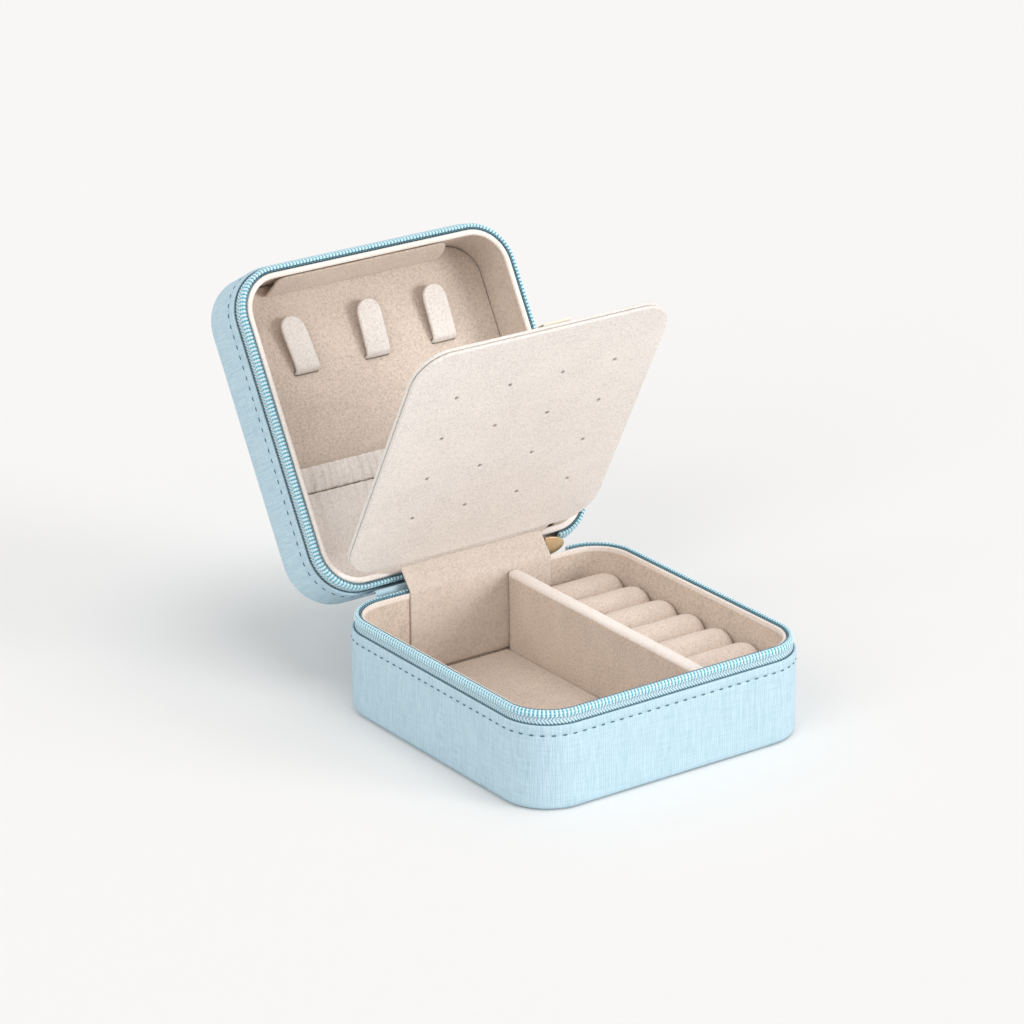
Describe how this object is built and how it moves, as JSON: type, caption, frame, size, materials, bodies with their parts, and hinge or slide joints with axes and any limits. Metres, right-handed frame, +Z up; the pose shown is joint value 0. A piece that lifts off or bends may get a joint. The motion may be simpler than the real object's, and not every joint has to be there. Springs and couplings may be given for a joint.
{
  "type": "travel jewelry case",
  "caption": "Square zip-up travel jewellery case, open: soft-lined base with divider and ring rolls, lid with necklace hooks and pocket, and a folding earring flap.",
  "frame": {"origin": "centre of the base's underside, on the surface the case stands on", "axes": "+X along the hinge to the right, +Y from the front edge to the hinge, +Z up"},
  "size_m": [0.1, 0.1705, 0.1185],
  "materials": {
    "leather": "pale sky-blue leatherette embossed with a fine woven grain, satin",
    "board": "grey-brown pressed board, hidden between skin and liner",
    "velvet": "short-pile beige microsuede, matt",
    "zipper_tape": "blue polyester zipper tape in a herringbone weave",
    "zipper_coil": "pale blue nylon coil",
    "ribbon": "cream satin ribbon",
    "slider": "dark enamelled zinc",
    "pull": "soft champagne-gold coated metal, satin"
  },
  "bodies": {
    "base": {"base_cover": "leather", "base_bottom_board": "board", "base_wall_board": "board", "base_liner": "velvet", "base_zipper_tape": "zipper_tape", "base_zipper_coil": "zipper_coil", "base_floor_pad": "velvet", "ring_bed": "velvet", "divider": "velvet", "ring_roll_1": "velvet", "ring_roll_2": "velvet", "ring_roll_3": "velvet", "ring_roll_4": "velvet", "ring_roll_5": "velvet", "ring_roll_6": "velvet", "ring_roll_7": "velvet", "strap_anchor": "velvet", "base_hinge_strip": "leather"},
    "lid": {"lid_cover": "leather", "lid_top_board": "board", "lid_wall_board": "board", "lid_liner": "velvet", "lid_zipper_tape": "zipper_tape", "lid_zipper_coil": "zipper_coil", "lid_hinge_strip": "leather", "lid_ceiling_pad": "velvet", "necklace_hook_1": "velvet", "necklace_hook_2": "velvet", "necklace_hook_3": "velvet", "catch_lip": "velvet", "pocket_panel": "velvet", "pocket_hem": "velvet"},
    "strap": {"strap_link": "velvet"},
    "flap": {"flap_front_board": "velvet", "flap_back_board": "velvet", "ribbon_loop": "ribbon"},
    "slider": {"zipper_slider": "slider"},
    "pull": {"zipper_pull": "pull"}
  },
  "joints": [
    {"name": "lid_hinge", "type": "hinge", "parent": "base", "child": "lid", "pos_m": [0, 0.0516, 0.0304], "axis": [1, 0, 0], "range_deg": [-55, 120]},
    {"name": "strap_fold", "type": "hinge", "parent": "base", "child": "strap", "pos_m": [0, 0.0466, 0.0298], "axis": [1, 0, 0], "range_deg": [-19, 41]},
    {"name": "flap_fold", "type": "hinge", "parent": "strap", "child": "flap", "pos_m": [0, 0.0525, 0.0369], "axis": [1, 0, 0], "range_deg": [-11, 23]},
    {"name": "slider_slide", "type": "slide", "parent": "lid", "child": "slider", "axis": [1, 0, 0], "range_m": [0, 0.004]},
    {"name": "pull_hinge", "type": "hinge", "parent": "slider", "child": "pull", "pos_m": [0.02735, 0.0516, 0.0304], "axis": [0, 0, 1], "range_deg": [0, 22]}
  ],
  "couplings": [
    {"joint": "strap_fold", "follows": "lid_hinge", "ratio": 0.33105},
    {"joint": "flap_fold", "follows": "lid_hinge", "ratio": 0.18562}
  ]
}
